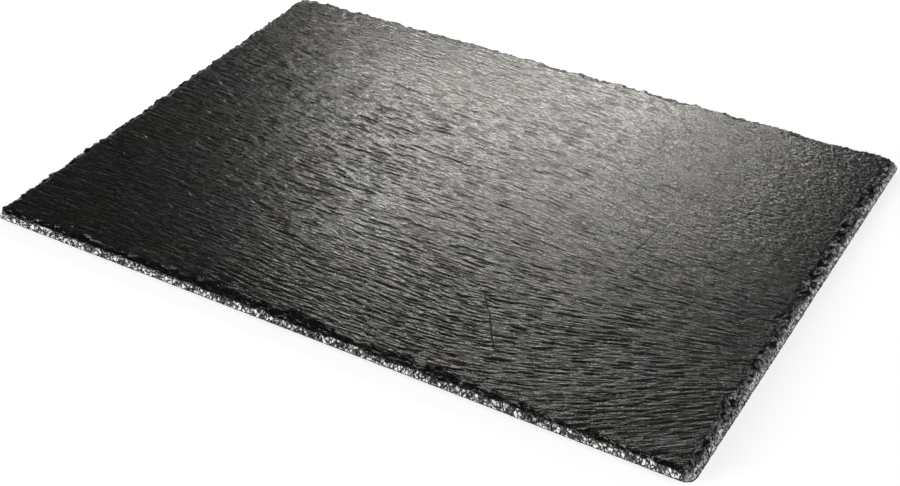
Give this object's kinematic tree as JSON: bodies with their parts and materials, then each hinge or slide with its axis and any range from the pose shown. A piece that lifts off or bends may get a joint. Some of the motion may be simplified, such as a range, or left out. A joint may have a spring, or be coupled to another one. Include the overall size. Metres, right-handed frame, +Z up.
{
  "type": "slate serving board",
  "caption": "Rectangular serving board of split slate with a rippled top and a hand-chipped rim, on small round pads.",
  "frame": {"origin": "on the table under the middle of the board", "axes": "+X along the board's length to the right, +Y to the back, +Z up, square to the serving face"},
  "size_m": [0.35, 0.25, 0.0072],
  "materials": {
    "slate": "riven, with a soft natural sheen",
    "pad": "matt black closed-cell rubber",
    "adhesive": "translucent acrylic"
  },
  "bodies": {
    "root": {"slate_slab": "slate", "foot_front_left": "pad", "foot_front_right": "pad", "foot_back_left": "pad", "foot_back_right": "pad", "adhesive_front_left": "adhesive", "adhesive_front_right": "adhesive", "adhesive_back_left": "adhesive", "adhesive_back_right": "adhesive"}
  },
  "joints": []
}
